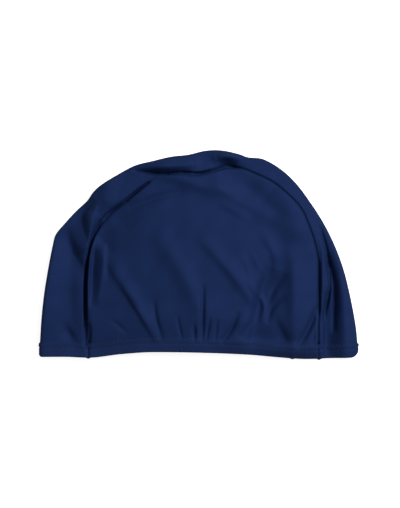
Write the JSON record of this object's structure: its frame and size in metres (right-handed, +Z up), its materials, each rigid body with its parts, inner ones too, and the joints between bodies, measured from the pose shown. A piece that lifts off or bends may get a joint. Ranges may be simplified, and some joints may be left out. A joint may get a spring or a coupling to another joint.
{
  "type": "swim cap",
  "caption": "Fabric swim cap of navy stretch knit laid flat on its side: D-shaped side panels, a centre panel folded round the edge, and a turned elastic hem.",
  "frame": {"origin": "under the middle of the cap's box, on the surface that it lies on", "axes": "+X along the hem, to the right seen from above; +Y from the hem to the crown; +Z up, through the two layers"},
  "size_m": [0.26, 0.1702, 0.0219],
  "materials": {
    "cloth": "satin stretch knit",
    "hem_cloth": "turned stretch knit with stitching"
  },
  "bodies": {
    "root": {"upper_side_panel": "cloth", "lower_side_panel": "cloth", "centre_panel": "cloth", "hem": "hem_cloth"}
  },
  "joints": []
}
